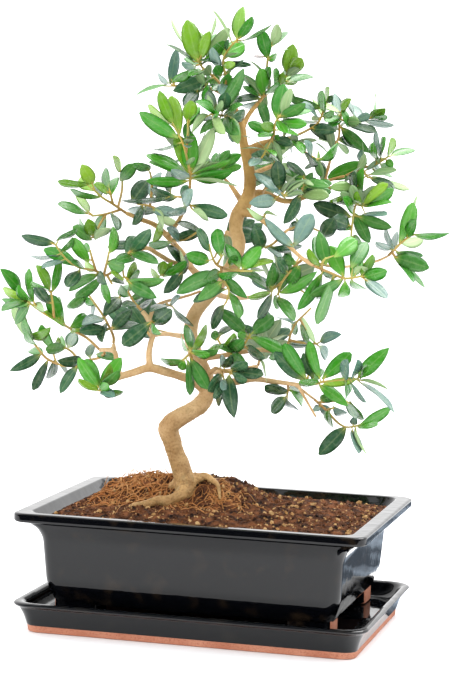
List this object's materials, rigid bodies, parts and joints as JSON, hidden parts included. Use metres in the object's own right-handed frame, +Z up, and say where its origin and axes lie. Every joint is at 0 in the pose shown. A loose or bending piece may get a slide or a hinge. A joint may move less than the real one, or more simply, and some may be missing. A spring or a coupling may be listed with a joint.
{
  "type": "olive bonsai",
  "caption": "Olive bonsai with a curved trunk and leafy sprays, rooted in a mound of soil in a footed rectangular glazed pot on its drip tray.",
  "frame": {"origin": "middle of the flat underside of the drip tray, on the table", "axes": "+Z up, +X along the long side of the pot towards the viewer's right, +Y away from the viewer, -Z is the outward normal of the base"},
  "size_m": [0.33, 0.2279, 0.4664],
  "materials": {
    "tray_glaze": "near-black gloss glaze with a bare terracotta band at the foot",
    "pot_glaze": "near-black gloss glaze, bare terracotta under the feet",
    "earth": "matt dark reddish-brown crumbs, standing in for soil",
    "bark": "pale beige bark, rough and flecked near the roots, smoother above",
    "leaf_young": "satin lime to fresh green young leaves on tan twigs",
    "leaf_mature": "satin deep blue-green leaves with paler undersides on tan twigs"
  },
  "bodies": {
    "root": {"drip_tray": "tray_glaze", "pot": "pot_glaze", "soil": "earth", "trunk": "bark", "crown_left": "leaf_young", "crown_peak": "leaf_young", "crown_back_left": "leaf_mature", "crown_mid": "leaf_mature", "crown_right": "leaf_young", "crown_right_front": "leaf_young", "right_top": "leaf_mature", "right_top_far": "leaf_mature", "right_high": "leaf_young", "right_upper": "leaf_young", "inner_right_leaf": "leaf_mature", "inner_right_high": "leaf_mature", "inner_right_mid": "leaf_mature", "far_right": "leaf_mature", "front_right": "leaf_young", "inner_right_low": "leaf_mature", "centre_front": "leaf_mature", "centre_low": "leaf_mature", "low_front": "leaf_young", "low_front_right": "leaf_mature", "low_right": "leaf_mature", "low_right_under": "leaf_mature", "mid_low_right": "leaf_mature", "low_right_hang": "leaf_mature", "left_crown": "leaf_young", "left_rise": "leaf_mature", "left_inner": "leaf_mature", "left_mid_up": "leaf_mature", "left_mid_low": "leaf_mature", "mid_left_bright": "leaf_young", "mid_left": "leaf_mature", "far_left_high": "leaf_mature", "far_left_mid": "leaf_mature", "left_edge": "leaf_young", "left_low_up": "leaf_mature", "left_upright_low": "leaf_mature", "left_upright_top": "leaf_mature", "left_link": "leaf_mature", "left_low": "leaf_mature", "left_bottom": "leaf_young", "back_middle": "leaf_mature", "back_upper": "leaf_mature", "back_upper_right": "leaf_mature", "back_right": "leaf_mature", "back_left": "leaf_mature", "back_low_right": "leaf_mature"}
  },
  "joints": []
}
